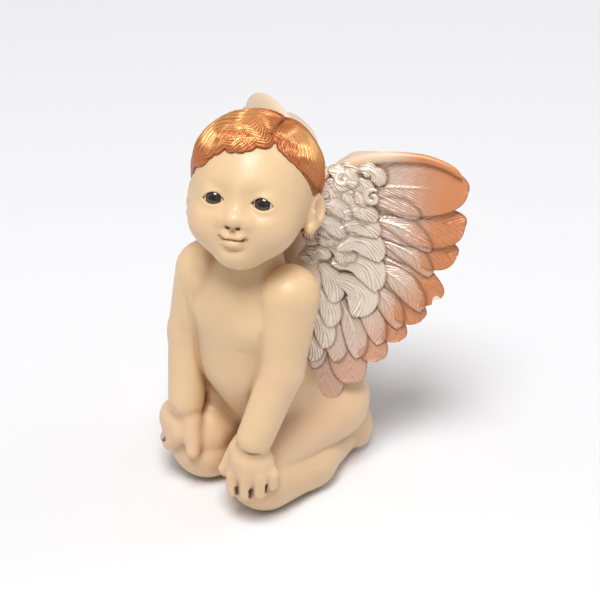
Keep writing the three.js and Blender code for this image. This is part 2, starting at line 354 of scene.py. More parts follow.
def torso_field(p):
    """Chest, belly and pelvis eggs, two small eggs on the chest, a neck cone, and a channel carved along the
    spine.
    """
    d = egg(p, (0, -15.2, 50.5), (12.2, 8.9, 10.6), turn_z(6))
    for side in (1, -1):
        d = blend(d, egg(p, (side * 5.2, -20.2, 49.6), (5.0, 3.4, 4.2)), 3.4)
    d = blend(d, egg(p, (-0.6, -13.2, 36.0), (12.6, 11.4, 12.8)), 9.0)
    d = blend(d, egg(p, (-0.8, -4.0, 22.0), (13.0, 13.0, 10.5)), 8.0)
    d = blend(d, limb(p, (0, -14.5, 56), (0, -12.8, 66), 8.0, 6.2), 5.0)
    spine = limb(p, (0, -4.6, 52), (0, 1.6, 30), 0.7, 0.9)
    return carve(d, spine, 3.2)


def body_field(p):
    """The whole casting: torso, seat, legs and arms filleted together, creases and finger gaps carved out,
    and the underside cut flat at the felt."""
    d = torso_field(p)
    seat = blend(egg(p, (7.0, 6.0, 17.0), (9.6, 8.6, 9.6)), egg(p, (-8.6, 6.0, 17.0), (9.6, 8.6, 9.6)), 1.0)
    d = blend(d, seat, 3.0)
    d = blend(d, blend(leg_field(p, 1), leg_field(p, -1), 1.0), 2.4)
    d = blend(d, egg(p, (-1.6, -6.0, 4.0), (7.6, 9.6, 5.6)), 2.0)
    d = blend(d, limb(p, (-9.6, -17.0, 37.0), (-10.0, -15.0, 20.0), 3.6, 3.9), 1.5)
    d = blend(d, np.minimum(arm_field(p, 1), arm_field(p, -1)), 0.8)
    d = blend(d, np.minimum(hand_field(p, 1), hand_field(p, -1)), 1.5)
    for a, b in (
        ((9.0, -29.7, 22.0), (13.2, -27.4, 21.7)),
        ((-11.4, -24.0, 54.0), (-9.8, -23.6, 47.0)),
        ((9.8, -22.4, 52.6), (10.0, -22.6, 46.0)),
        ((8.2, -23.0, 43.4), (5.4, -24.5, 44.4)),
        ((-15.4, -27.6, 23.2), (-9.6, -28.4, 22.6)),
    ):
        d = carve(d, limb(p, a, b, 0.3, 0.3), 0.7)
    for a, b in FINGER_GAPS:
        d = carve(d, limb(p, a, b, 0.44, 0.36), 0.35)
    return np.maximum(d, FELT_TOP - p[..., 2])


def near_points(p, spots):
    """Sum of soft round spots: 1 at each centre, falling off as exp(-(distance / radius) squared)."""
    total = np.zeros(len(p))
    for centre, radius in spots:
        total += np.exp(-(((p - np.array(centre)) / radius) ** 2).sum(-1))
    return np.clip(total, 0, 1)


# ------------------------------------------------------------------ the head
def face_field(m, q):
    """Nose and lips, as round cones and eggs in the head's own frame; m is q mirrored to one side."""
    nose = limb(q, (0, -11.6, -1.4), (0, -14.2, -5.0), 1.3, 1.5)
    nose = blend(nose, egg(q, (0, -15.1, -5.2), (2.0, 1.6, 1.5)), 1.0)
    nose = blend(nose, egg(m, (2.2, -14.0, -5.7), (1.2, 1.35, 1.05)), 0.8)
    lips = egg(m, (1.0, -14.0, -8.9), (1.8, 1.25, 0.9), turn_z(-14))
    lips = blend(lips, egg(q, (0, -13.9, -10.5), (1.9, 1.35, 1.05)), 0.4)
    return nose, lips


def head_field(p):
    """Skull, cheeks, jaw and ears as eggs, eyelids as a shell cut by an almond, and the face on them."""
    q = ((p - HEAD_CENTRE) @ HEAD_TURN).astype(np.float32)
    m = q.copy()
    m[..., 0] = np.abs(m[..., 0])
    d = egg(q, SKULL_CENTRE, SKULL)
    d = blend(d, egg(q, (0, -5.0, -6.2), (10.9, 9.2, 9.6)), 6.0)
    d = blend(d, egg(q, (0, -8.4, -13.1), (4.4, 4.4, 3.5)), 4.0)
    d = blend(d, egg(m, (6.0, -8.3, -6.9), (5.1, 5.0, 5.0)), 3.6)
    d = carve(d, egg(m, (5.2, -16.4, -1.2), (3.8, 2.9, 2.6)), 3.4)
    nose, lips = face_field(m, q)
    d = blend(d, nose, 2.2)
    d = blend(d, lips, 1.6)
    d = carve(d, limb(q, (0, -15.4, -7.2), (0, -14.9, -8.0), 0.3, 0.35), 0.7)
    d = carve(d, egg(m, (1.15, -15.1, -6.9), (0.5, 0.7, 0.4)), 0.4)
    line = np.abs(q[..., 2] + 9.65 - 0.03 * q[..., 0] ** 2) - 0.12
    line = np.maximum(np.maximum(line, m[..., 0] - 2.1), q[..., 1] + 13.2)
    d = carve(d, line, 0.35)
    d = carve(d, egg(m, (2.7, -14.4, -9.4), (0.4, 0.8, 0.45)), 0.8)
    d = carve(d, egg(q, (0, -14.2, -12.1), (2.2, 0.8, 0.5)), 1.2)
    d = blend(d, egg(q, (0, -11.4, -13.4), (2.3, 1.9, 1.6)), 1.6)
    lid = egg(m, EYE, (EYE_RADIUS + 0.55,) * 3)
    d = blend(d, lid, 1.0)
    x = (m[..., 0] - EYE[0]) / 2.45
    z = m[..., 2] - EYE[2] + 0.06 * (m[..., 0] - EYE[0])
    almond = np.maximum(z - 1.5 * (1 - x * x), -z - 1.15 * (1 - x * x))
    almond = np.maximum(almond * 0.8, m[..., 1] - EYE[1])
    d = carve(d, almond, 0.3)
    d = carve(d, egg(m, EYE, (EYE_RADIUS + 0.02,) * 3), 0.05)
    ear_turn = turn_z(-24)
    ear = egg(m, (13.8, 1.6, -4.0), (1.6, 3.1, 4.1), ear_turn)
    ear = carve(ear, egg(m, (15.1, 1.2, -3.2), (1.0, 1.9, 2.5), ear_turn), 0.5)
    ear = blend(ear, limb(m, (13.9, -0.4, -4.0), (14.1, 0.8, -5.4), 0.7, 0.6), 0.4)
    ear = blend(ear, egg(m, (13.4, 0.2, -7.4), (1.3, 1.6, 1.5)), 0.8)
    return blend(d, ear, 1.0)


# ------------------------------------------------------------------ the hair
# The hairline's height in degrees at each bearing round the skull: 0 is the face, 90 the left ear.
HAIRLINE = (
    (-180, -46), (-140, -46), (-116, -26), (-100, -6), (-84, -9), (-70, -6), (-56, 2), (-50, 20), (-44, 28),
    (-26, 32), (-11, 34), (-2, 37), (18, 39), (30, 43), (36, 50), (40, 56), (43, 44), (46, 34), (54, 22),
    (62, 13), (72, 2), (78, -6), (84, -10), (99, -12), (116, -36), (128, -46), (140, -48), (180, -46),
)  # fmt: skip
PARTING = ((40, 57), (50, 63), (77, 69), (120, 69), (165, 62))


def bearing_point(bearing, height, lift):
    """Point over the skull at a bearing and height in degrees, lift outside it, in the figure's frame."""
    b, h = np.radians(bearing), np.radians(height)
    ray = np.stack([np.sin(b) * np.cos(h), -np.cos(b) * np.cos(h), np.sin(h)], -1)
    return (SKULL_CENTRE + ray * (SKULL + np.asarray(lift)[..., None])) @ HEAD_TURN.T + HEAD_CENTRE


def ray_of(bearing, height):
    """Unit vector in the head's frame at a bearing and height in degrees."""
    b, h = np.radians(bearing), np.radians(height)
    return np.stack([np.sin(b) * np.cos(h), -np.cos(b) * np.cos(h), np.sin(h)], -1)


def along_list(pairs, f):
    """Point a fraction f along a list of bearing and height pairs."""
    table = np.array(pairs, float)
    at = np.linspace(0, 1, len(table))
    return np.interp(f, at, table[:, 0]), np.interp(f, at, table[:, 1])


def hair_lock(start, end, sag, wave, turns, phase, width, lift, rings=44):
    """A lock laid on the skull. Its middle line turns from ray start to ray end at a steady rate, pushed
    sideways by sag times a half wave plus a running wave. Its section is a flat arch with four combed
    ridges, and its width and height swell from the root and taper to the tip."""
    s = np.linspace(0, 1, rings)
    angle = np.arccos(np.clip(start @ end, -1, 1))
    ray = (np.sin((1 - s) * angle)[:, None] * start + np.sin(s * angle)[:, None] * end) / np.sin(angle)
    side = np.cross(start, end)
    side = side / np.linalg.norm(side)
    drift = sag * np.sin(np.pi * s) + wave * smooth(s, 0.0, 0.35) * np.sin(2 * np.pi * (turns * s + phase))
    ray = ray + drift[:, None] * side
    ray = ray / np.linalg.norm(ray, axis=-1, keepdims=True)
    swell = (np.clip(s / 0.18, 0, 1) ** 0.6) * (np.clip((1 - s) / 0.35, 0, 1) ** 0.65)
    swell = 0.12 + 0.88 * swell
    heading = np.gradient(ray, axis=0)
    heading = heading / np.linalg.norm(heading, axis=-1, keepdims=True)
    across = np.cross(ray, heading)
    v = np.linspace(-1, 1, 19)
    ridge = 0.5 + 0.5 * np.cos(2 * np.pi * (2.0 * v + 0.5))
    arch = np.sqrt(np.clip(1 - v * v, 0, 1))
    top = 0.1 + arch[None] * (0.4 + 0.56 * ridge[None]) * swell[:, None]
    under = np.full((rings, 5), -0.5)
    height = np.concatenate([top, under], 1) + lift * smooth(1 - s, 0.0, 0.3)[:, None]
    v_all = np.concatenate([v, np.linspace(0.8, -0.8, 5)])
    place = SKULL_CENTRE + ray[:, None] * (SKULL + height[..., None])
    place = place + across[:, None] * (v_all[None] * width * swell[:, None])[..., None]
    place = place @ HEAD_TURN.T + HEAD_CENTRE
    # Crests take gilding with a painted highlight; the lock's edges, root and tip take painted shade.
    gold_and_highlight = np.concatenate([ridge * arch, np.zeros(5)])[None] * np.ones((rings, 1))
    gold_and_highlight = gold_and_highlight * np.sin(np.pi * np.clip(s * 1.1, 0, 1))[:, None] ** 0.5
    points, quads, fans = loft(place)
    uv = np.stack(np.broadcast_arrays(s[:, None] * angle * 15, v_all[None] * width), -1)
    values = {"ridge": per_point(gold_and_highlight), "uv": per_point(uv)}
    return points, quads, fans, values


def hair_locks():
    """Locks combed from the parting: to the right over the brow, to the left past the ear, and back."""
    random = np.random.default_rng(4)
    hairline = np.array(HAIRLINE, float)
    locks = []

    def height_at(bearing):
        return np.interp((bearing + 180) % 360 - 180, hairline[:, 0], hairline[:, 1])

    def lay(f, bearing, inside, sag, wave, turns, width, lift):
        start = ray_of(*along_list(PARTING, f))
        end = ray_of(bearing, height_at(bearing) + inside)
        phase = 0.9 * f + random.uniform(-0.02, 0.02)
        locks.append(hair_lock(start, end, sag, wave, turns, phase, width, lift))

    for k in range(15):  # over the brow to the right
        f = k / 14
        inside, sag = 2.0 + 3 * random.uniform(), 0.15 * (1 - f) ** 1.5
        lay(0.02 + 0.62 * f**1.2, -38 - 70 * f, inside, sag, 0.085, 2.6, 1.5, 0.2)
    for k in range(12):  # a second, shorter layer of them
        f = (k + 0.5) / 12
        inside, sag = 3.0 + 6 * random.uniform(), 0.12 * (1 - f) ** 1.5
        lay(0.03 + 0.5 * f, -12 - 84 * f, inside, sag, 0.085, 2.6, 1.2, 0.6)
    for bearing in (16, 7, -2, -11, -20, -29, -38):  # the fringe's own waves along the hairline
        start = ray_of(bearing + 16, height_at(bearing + 14) + 6)
        end = ray_of(bearing - 12, height_at(bearing - 12) + 0.5)
        locks.append(hair_lock(start, end, 0.05, 0.04, 1.2, random.uniform(0, 1), 1.2, 0.4))
    for k in range(13):  # down past the left ear
        f = k / 12
        lay(0.03 + 0.5 * f, 44 + 54 * f, 1.0 + 2 * random.uniform(), -0.05, 0.045, 2.2, 1.5, 0.0)
    for k in range(10):
        f = (k + 0.5) / 10
        lay(0.06 + 0.5 * f, 48 + 52 * f, 4.0 + 8 * random.uniform(), -0.04, 0.045, 2.1, 1.2, 0.4)
    for k in range(22):  # round the back to the nape
        f = k / 21
        inside = 1.0 + 3 * random.uniform()
        lay(0.62 + 0.38 * np.sin(np.pi * f), 100 + 160 * f, inside, 0, 0.05, 1.6, 2.5, 0.25)
    for k in range(16):
        f = (k + 0.5) / 16
        inside = 12 + 10 * random.uniform()
        lay(0.75 + 0.25 * np.sin(np.pi * f), 104 + 152 * f, inside, 0, 0.06, 1.3, 2.1, 0.6)
    for k in range(5):  # a tuft under the left ear
        start, end = ray_of(98 + 7 * k, -16), ray_of(94 + 8 * k, -50 - 2 * k)
        locks.append(hair_lock(start, end, 0.04, 0.02, 1.0, 0.2 * k, 1.6, 1.6))
    return joined(locks)


def hair_bed():
    """The cap under the locks: rings of constant share of the way from the crown down to the hairline,
    0.5 proud of the skull, rounding over at the hairline and coming back up inside the skull."""
    table = np.array(HAIRLINE, float)
    bearing = np.linspace(-180, 180, 180, endpoint=False)
    edge = np.interp(bearing, table[:, 0], table[:, 1])
    share = np.concatenate([np.linspace(0.02, 1, 60), np.linspace(1, 0.02, 12)])
    lift = np.concatenate([0.5 * np.sqrt(1 - np.linspace(0.02, 1, 60) ** 10), np.full(12, -0.7)])
    height = 90 - share[:, None] * (90 - edge[None])
    place = bearing_point(bearing[None] * np.ones_like(height), height, lift[:, None] * np.ones_like(height))
    points, quads, fans = loft(place)
    uv = np.stack(np.broadcast_arrays(share[:, None] * 20, bearing[None] * 0.25), -1)
    # With no ridge value the cap takes the darker end of the hair's colour ramp: painted shade between the
    # locks.
    values = {"ridge": per_point(np.zeros(height.shape)), "uv": per_point(uv)}
    return points, quads, fans, values


# ------------------------------------------------------------------ the wings
WING_ORIGIN = np.array([3.0, 11.0, 60.0])
WING_OUT = np.array([np.cos(np.radians(25)), np.sin(np.radians(25)), 0.0])
WING_BACK = np.array([-WING_OUT[1], WING_OUT[0], 0.0])
WING_UP = np.array([0, 0, np.cos(np.radians(8))]) + WING_BACK * np.sin(np.radians(8))
WING_FACE = np.cross(WING_OUT, WING_UP)
WING_WRAP = np.array([0.5, -0.64, 0.59])

# Flight feathers from the top down: quill, tip and the middle's offset from their chord, all out and up in
# the wing's own plane, then the width above and below the quill, the layer height and the share of copper.
FLIGHT = (
    ((5.0, 11.2), (31.5, 13.2), 0.9, 6.0, 6.8, 3.5, 1.0),
    ((6.0, 3.8), (31.4, 5.0), 1.0, 3.6, 6.6, 3.0, 1.0),
    ((7.0, 0.6), (29.9, -3.0), 1.2, 3.2, 5.8, 2.5, 1.0),
    ((8.0, -4.6), (26.4, -14.4), 2.4, 3.4, 6.8, 2.3, 1.0),
    ((7.0, -9.0), (22.8, -20.2), 1.4, 3.0, 5.4, 1.95, 0.95),
    ((6.0, -12.0), (18.0, -26.4), 1.4, 3.0, 5.2, 1.6, 0.8),
    ((4.4, -16.0), (12.8, -32.8), 1.4, 3.3, 5.2, 1.25, 0.55),
    ((1.0, -20.0), (6.8, -39.8), 1.4, 4.0, 5.0, 0.85, 0.4),
    ((-3.0, -24.0), (0.2, -45.2), 1.4, 4.8, 4.4, 0.45, 0.3),
)
# Coverts over them: quill, tip, bow, half width and layer height.
COVERTS = (
    ((10.4, 8.6), (21.4, 6.2), 0.9, 2.3, 3.7),
    ((11.0, 4.2), (24.0, -2.0), 1.8, 2.6, 3.4),
    ((11.6, -1.0), (24.2, -8.4), 2.2, 2.6, 3.0),
    ((11.0, -7.4), (22.6, -17.4), 2.0, 3.0, 2.9),
    ((9.2, -11.0), (17.4, -23.0), 1.6, 2.8, 2.4),
    ((7.0, -15.0), (13.0, -28.0), 1.4, 2.8, 2.2),
    ((3.4, -17.5), (8.0, -32.5), 1.4, 2.9, 1.9),
    ((-0.2, -20.0), (3.0, -34.4), 1.2, 2.8, 1.7),
    ((-3.0, -24.0), (-2.2, -37.0), 1.0, 2.4, 1.5),
    ((1.4, -8.6), (12.2, -13.4), 4.6, 3.8, 3.9),
    ((2.2, -12.0), (7.2, -21.0), 4.4, 3.9, 3.6),
    ((2.4, -4.6), (12.8, -5.6), 4.2, 3.4, 4.4),
    ((3.0, 0.6), (12.0, 0.4), 2.8, 2.8, 4.7),
    ((-1.6, -9.0), (2.0, -18.4), 1.8, 2.6, 3.6),
    ((-2.0, -15.0), (1.4, -25.0), 1.6, 2.6, 3.1),
    ((-3.0, -20.6), (0.4, -30.8), 1.4, 2.5, 2.8),
    ((-4.0, -27.0), (-2.4, -34.6), 1.0, 2.2, 2.6),
    ((-2.4, -3.0), (4.8, -6.6), 2.2, 2.4, 4.3),
    ((-2.8, 1.6), (4.0, -1.6), 1.8, 2.2, 4.8),
    ((-1.8, 6.0), (5.4, 3.4), 1.8, 2.2, 5.0),
    ((3.8, 5.0), (11.4, 4.2), 2.0, 2.2, 4.9),
    ((3.6, 9.4), (11.0, 8.6), 1.9, 2.2, 4.6),
    ((-1.6, 10.4), (5.6, 9.0), 1.8, 2.2, 4.7),
    ((0.6, 14.0), (7.4, 13.6), 1.6, 2.0, 4.2),
    ((6.4, 13.0), (13.0, 13.2), 1.4, 1.9, 3.9),
)
# Small curled tufts between them: centre, size and starting angle.
CURLS = ((3.4, 13.6, 2.0, 20), (10.4, 10.2, 1.9, 60), (-0.4, 9.2, 1.7, 320))
CHIPPED_FEATHER = 3  # the left wing's fourth flight feather, whose tip is worn to bare resin
CHIP = np.array([25.9, -14.6])
CHIP_SIZE = (1.0, 1.3)
# The front edge's path from the shoulder blade over the top; the right wing's goes one point further.
EDGE_PATH = (
    (-1.6, 5.0), (-1.0, 12.0), (4.2, 16.8), (10.0, 19.4), (16.0, 20.4), (21.8, 20.6), (27.2, 19.2),
    (30.4, 16.8),
)  # fmt: skip
EDGE_END = (31.2, 12.8)


def wing_wrap(out, up):
    """How far the wing's foot and root come forward along WING_WRAP: a ramp towards the low inner corner,
    and one towards the back between the shoulder and the waist."""
    foot = 14 * np.clip((-up - 8 - 0.9 * out) / 38, 0, 1)
    root = 8.5 * (1 - smooth(out, -2, 10)) * smooth(up, -44, -20) * (1 - smooth(up, 4, 17))
    return np.maximum(foot, 0) + root * (1 - np.clip(foot / 14, 0, 1))


def wing_place(out, up, lift, side):
    """Point of a wing from its place in the wing's plane, raised by lift off its front and wrapped forward;
    side -1 is the mirrored right wing."""
    out, up, lift = np.broadcast_arrays(out, up, lift)
    p = WING_ORIGIN + out[..., None] * WING_OUT + up[..., None] * WING_UP + lift[..., None] * WING_FACE
    p = p + wing_wrap(out, up)[..., None] * WING_WRAP
    return p * (side, 1, 1)


def feather(
    quill, tip, bow, above, below, layer, side, combed,
    size=(84, 60), blunt=3.0, copper=0.0, pearl=0.0, calm=2.0, cream=0.0,
):  # fmt: skip
    """A feather carried along a bowed quill. Its half widths widen from the quill's foot and close as
    (1 - x^blunt)^(1 / blunt). Its front is a flat arch tilted so that its lower edge lies over the next
    feather, with a fine raised quill and waves along its barbs, which leave the quill at the combed angle
    with the combed spacing and depth, and die out past the calm share of its length. Its back is a
    flatter arch."""
    quill, tip = np.array(quill, float), np.array(tip, float)
    slant, spacing, depth = combed
    rings, front = size
    chord = tip - quill
    length = np.linalg.norm(chord)
    normal = np.array([-chord[1], chord[0]]) / length
    u = 1 - (1 - np.linspace(0, 1, rings)) ** 1.35
    foot = np.clip(u / 0.08, 0, 1) ** 0.5
    close = (1 - np.clip((u - 0.5) / 0.5, 0, 1) ** blunt) ** (1 / blunt)
    shape = (0.42 + 0.58 * smooth(u, 0, 0.5)) * close * foot
    middle = quill + u[:, None] * chord + (4 * bow * u * (1 - u))[:, None] * normal
    heading = np.gradient(middle, axis=0)
    heading = heading / np.linalg.norm(heading, axis=-1, keepdims=True).clip(1e-9)
    across = np.stack([-heading[:, 1], heading[:, 0]], -1)
    w = np.linspace(-1, 1, front)
    v_front = 0.5 * w + 0.25 * np.sign(w) * (1 - np.cos(np.pi * w))
    v_back = np.linspace(1, -1, front // 2 + 2)[1:-1]
    v = np.concatenate([v_front, v_back])
    half = np.where(v > 0, above, below)[None] * shape[:, None]
    place = middle[:, None] + across[:, None] * (v[None] * half)[..., None]
    arch = np.sqrt(np.clip(1 - v**4, 0, 1))[None] * foot[:, None]
    is_front = np.concatenate([np.ones(len(v_front)), np.zeros(len(v_back))])[None]
    reach_in = np.abs(v)[None] * half
    along = (u * length)[:, None]
    lean = np.sin(np.radians(slant))
    barb = reach_in * np.cos(np.radians(slant)) - along * lean + 0.06 * reach_in**2 * lean
    drift = 1.1 * np.sin(0.55 * along + 0.9 * barb + quill[1]) + 0.6 * np.sin(1.7 * barb - 0.3 * along)
    strength = (smooth(u, 0.02, 0.2) * (1 - smooth(u, calm - 0.2, calm)))[:, None]
    comb = np.cos(2 * np.pi * barb / spacing + drift) * (0.7 + 0.3 * np.sin(0.8 * barb + 0.2 * along))
    quill_line = is_front * np.exp(-((v[None] * half / 0.28) ** 2)) * (1 - smooth(u, 0.45, 0.8))[:, None]
    height = layer + np.where(is_front > 0, arch * (0.5 + depth * comb * strength), -1.1 * arch)
    height = height + 0.35 * quill_line - 0.14 * (np.where(v > 0, above, below) * v)[None] * foot[:, None]
    height = height - 0.5 * smooth(u, 0.75, 1.0)[:, None]
    points, quads, fans = loft(wing_place(place[..., 0], place[..., 1], height, side))
    ones = np.ones_like(arch)
    rim = (1 - np.abs(v))[None] * half
    # Painted shade along the front's rim and at the tip.
    edge = np.maximum(np.clip(1 - rim / 0.5, 0, 1), smooth(u, 0.975, 1.0)[:, None]) * is_front
    # Combed crests and the quill line feed the ridge value, painted with gilding and a painted highlight.
    line = is_front * (0.5 + 0.5 * comb) * strength * min(1.0, depth * 9)
    is_chipped = side > 0 and layer == FLIGHT[CHIPPED_FEATHER][5]
    chipped = np.exp(-(((place - CHIP) / CHIP_SIZE) ** 2).sum(-1)) * is_chipped
    values = {
        "copper": per_point(copper * smooth(u, 0.35, 0.85)[:, None] * ones),
        "pearl": per_point(np.clip(pearl - 0.9 * (1 - pearl) * u, 0, 1)[:, None] * ones),
        "ridge": per_point(np.maximum(line, quill_line)),
        "edge": per_point(edge),
        "barbs": per_point(strength * is_front),
        "cream": per_point(cream * ones),
        "chip": per_point(chipped),
        "uv": per_point(np.stack(np.broadcast_arrays(along, barb), -1)),
        "flat": per_point(place),
        "rim": per_point(((rim < 1e-6) | (u > 0.999)[:, None]) * is_front),
        "level": per_point(np.where(is_front > 0, layer, 99.0) * ones),
    }
    return points, quads, fans, values


def plain_values(shape, uv, **given):
    """The values that a smooth part of a wing carries: nought but for those given."""
    names = ("copper", "pearl", "ridge", "edge", "barbs", "cream", "chip", "rim")
    values = {name: per_point(np.asarray(given.get(name, 0.0)) * np.ones(shape)) for name in names}
    values["uv"] = per_point(uv)
    values["flat"] = per_point(np.zeros((*shape, 2)))
    values["level"] = per_point(np.full(shape, 99.0))
    return values


def strand(path, radius, flat, layer, side, copper, pearl, cream, painted_shine=0.0, rings_round=14):
    """A round bar in the wing's plane: a circle of the given radius round each point of path, its depth
    scaled by flat, at a height of layer."""
    path = np.array(path, float)
    heading = np.gradient(path, axis=0)
    heading = heading / np.linalg.norm(heading, axis=-1, keepdims=True)
    across = np.stack([-heading[:, 1], heading[:, 0]], -1)
    angle = np.linspace(0, 2 * np.pi, rings_round, endpoint=False)
    radius = np.asarray(radius)[:, None]
    place = path[:, None] + across[:, None] * (np.cos(angle)[None] * radius)[..., None]
    height = np.asarray(layer)[..., None] + np.sin(angle)[None] * radius * flat
    points, quads, fans = loft(wing_place(place[..., 0], place[..., 1], height, side))
    uv = np.stack(np.broadcast_arrays(np.linspace(0, 9, len(path))[:, None], angle[None]), -1)
    shown = {"copper": np.asarray(copper)[..., None], "pearl": pearl, "cream": np.asarray(cream)[..., None]}
    # A painted highlight along the bar's front half.
    values = plain_values(height.shape, uv, ridge=painted_shine * np.clip(np.sin(angle), 0, 1)[None], **shown)
    return points, quads, fans, values


def curl(out, up, size, start, side):
    """A small scroll: a bar along a spiral whose radius falls from size to a quarter of it in 1.2 turns."""
    s = np.linspace(0, 1, 34)
    angle = np.radians(start) + 2 * np.pi * 1.15 * s
    reach = size * (1 - 0.78 * s)
    path = np.stack([out + reach * np.cos(angle), up + reach * np.sin(angle)], -1)
    radius = 0.72 * np.sin(np.pi * (0.08 + 0.84 * s)) ** 0.6
    # The 0.8 paints a highlight along the scroll's front.
    return strand(path, radius, 0.8, 5.3 + 0.4 * s, side, 0 * s, 1.0, 0 * s, 0.8, 8)


def leading_edge(side, width):
    """The smooth rounded front edge from the shoulder blade over the top and round the wing tip."""
    s = np.linspace(0, 1, 90)
    table = np.array(EDGE_PATH + ((EDGE_END,) if side < 0 else ()))
    at = np.linspace(0, 1, len(table))
    path = np.stack([np.interp(s, at, table[:, i]) for i in (0, 1)], -1)
    kernel = np.ones(11) / 11
    path = np.stack([np.convolve(np.pad(path[:, i], 5, "edge"), kernel, "valid") for i in (0, 1)], -1)
    path = path - (width - 1) * np.array([1.6, 1.5]) * smooth(s, 0, 0.3)[:, None] - (0, 0.4)
    taper = 1.9 - (1.25 if side > 0 else 0.8) * s
    radius = width * taper * np.sqrt(np.clip(np.minimum(s / 0.04, (1 - s) / 0.1), 0.04, 1))
    layer = 2.0 + 1.6 * smooth(s, 0, 0.45)
    if side > 0:
        copper, cream = smooth(s, 0.4, 0.7), 1 - smooth(s, 0.4, 0.7)
    else:
        copper, cream = 0.35 * smooth(s, 0.4, 1.0), 1 - 0.3 * smooth(s, 0.4, 1.0)
    return strand(path, radius, 0.8 / width, layer, side, copper, 0.6, cream, 0.0, 20)


def wing_root(side):
    """The fleshy root: round sections along a line from inside the back to the wing's blade."""
    line = np.array([
        (4.8, -9.0, 50.0), (4.9, -4.0, 50.6), (5.0, 2.0, 52.6), (5.2, 7.0, 55.6), (5.4, 11.0, 58.4),
    ])  # fmt: skip
    size = np.array([(3.2, 7.0), (4.2, 10.5), (4.3, 12.5), (3.9, 13.0), (3.0, 12.0)])
    s = np.linspace(0, 1, 60)
    at = np.linspace(0, 1, len(line))
    middle = np.stack([np.interp(s, at, line[:, i]) for i in range(3)], -1)
    wide, tall = (np.interp(s, at, size[:, i]) for i in (0, 1))
    angle = np.linspace(0, 2 * np.pi, 40, endpoint=False)
    lumps = 1 + 0.03 * np.sin(5 * angle[None] + 4 * s[:, None]) * np.sin(5 * s[:, None])
    along = np.gradient(middle, axis=0)
    along = along / np.linalg.norm(along, axis=-1, keepdims=True)
    across = np.array([1.0, 0, 0])[None] * np.ones((len(s), 1))
    across = across - (across * along).sum(-1, keepdims=True) * along
    across = across / np.linalg.norm(across, axis=-1, keepdims=True)
    over = np.cross(along, across)
    place = middle[:, None] + across[:, None] * (np.cos(angle)[None] * wide[:, None] * lumps)[..., None]
    place = place + over[:, None] * (np.sin(angle)[None] * tall[:, None] * 0.5 * lumps)[..., None]
    points, quads, fans = loft(place * (side, 1, 1))
    uv = np.stack(np.broadcast_arrays(s[:, None] * 20, angle[None] * 3), -1)
    return points, quads, fans, plain_values(lumps.shape, uv, pearl=0.8, cream=0.5)


def wing_blade(side):
    """The solid blade that the feathers stand on: rounded sections from the wing's top to its foot, between
    an inner and an outer margin, its front just under the feathers and its back smooth."""
    table = np.array([
        (19.0, 7.0, 14.0, 2.8), (17.8, 3.8, 18.0, 3.0), (15.4, 0.8, 20.4, 3.2), (12.0, -1.6, 20.8, 3.2),
        (6.0, -2.8, 19.4, 3.2),
        (0.0, -3.0, 17.5, 2.6),
        (-8.0, -3.6, 15.0, 2.3), (-16.0, -4.6, 11.5, 1.6), (-24.0, -5.4, 7.0, 1.1), (-32.0, -5.4, 2.8, 0.7),
        (-37.0, -4.4, -0.6, 0.4),
    ])  # fmt: skip
    s = np.linspace(0, 1, 80)
    at = np.linspace(0, 1, len(table))
    up, inner, outer, front = (np.interp(s, at, table[:, i])[:, None] for i in range(4))
    angle = np.linspace(0, 2 * np.pi, 48, endpoint=False)[None]
    round_off = np.sqrt(np.clip(np.minimum(s, 1 - s) / 0.06, 0.02, 1))[:, None]
    c, t = np.cos(angle), np.sin(angle)
    reach = np.sign(c) * np.abs(c) ** 0.7 * round_off
    out = (inner + outer) / 2 + (outer - inner) / 2 * reach
    lift = np.where(t > 0, front * np.abs(t) ** 0.5, -1.7 * np.abs(t) ** 0.5) * round_off
    points, quads, fans = loft(wing_place(out, up, lift, side))
    uv = np.stack(np.broadcast_arrays(up, angle * 3), -1)
    return points, quads, fans, plain_values(out.shape, uv, pearl=0.7, cream=0.35)


def shade_creases(lofts):
    """Adds to each loft how near its points lie to a rim of a higher feather, seen square on to the wing:
    exp(-(distance / 0.42) squared)."""
    levels = [item[3]["level"].min() for item in lofts]
    for item, level in zip(lofts, levels):
        values = item[3]
        crease = np.zeros(len(item[0]))
        higher = [values for (*_, values), above in zip(lofts, levels) if level + 0.05 < above < 90]
        rims = [values["flat"][values["rim"] > 0.5] for values in higher]
        shown = np.flatnonzero(values["level"] < 90)
        if rims and len(shown):
            rim = np.concatenate(rims)
            tree = KDTree(len(rim))
            for i, (out, up) in enumerate(rim):
                tree.insert((out, up, 0), i)
            tree.balance()
            distance = np.array([tree.find((out, up, 0))[2] for out, up in values["flat"][shown]])
            crease[shown] = np.exp(-((distance / 0.42) ** 2))
        values["crease"] = crease
    return lofts


def tufts(side):
    """Small shell-like tufts scattered in rows between the shoulder and the coverts, each gently bowed."""
    random = np.random.default_rng(11)
    made = []
    for row in range(11):
        for column in range(-1 if row > 2 else 0, 5):
            out = -2.8 + 3.1 * column + random.uniform(-0.6, 0.6) + 0.8 * (row % 2)
            up = 15.4 - 2.9 * row + random.uniform(-0.5, 0.5) + 0.35 * column
            angle = np.radians(random.uniform(-75, -15))
            reach = random.uniform(3.6, 4.8)
            if out > 10.6 - 0.75 * row or row > 7 and column > -1:
                continue
            tip = (out + reach * np.cos(angle), up + reach * np.sin(angle))
            bow = random.uniform(0.3, 1.1)
            layer = 5.1 - 0.12 * row + 0.1 * random.uniform()
            made.append(
                feather((out, up), tip, bow, 1.7, 1.9, layer, side, (9, 0.62, 0.11), (28, 34), 2.2, 0.0, 1.0)
            )
    return made


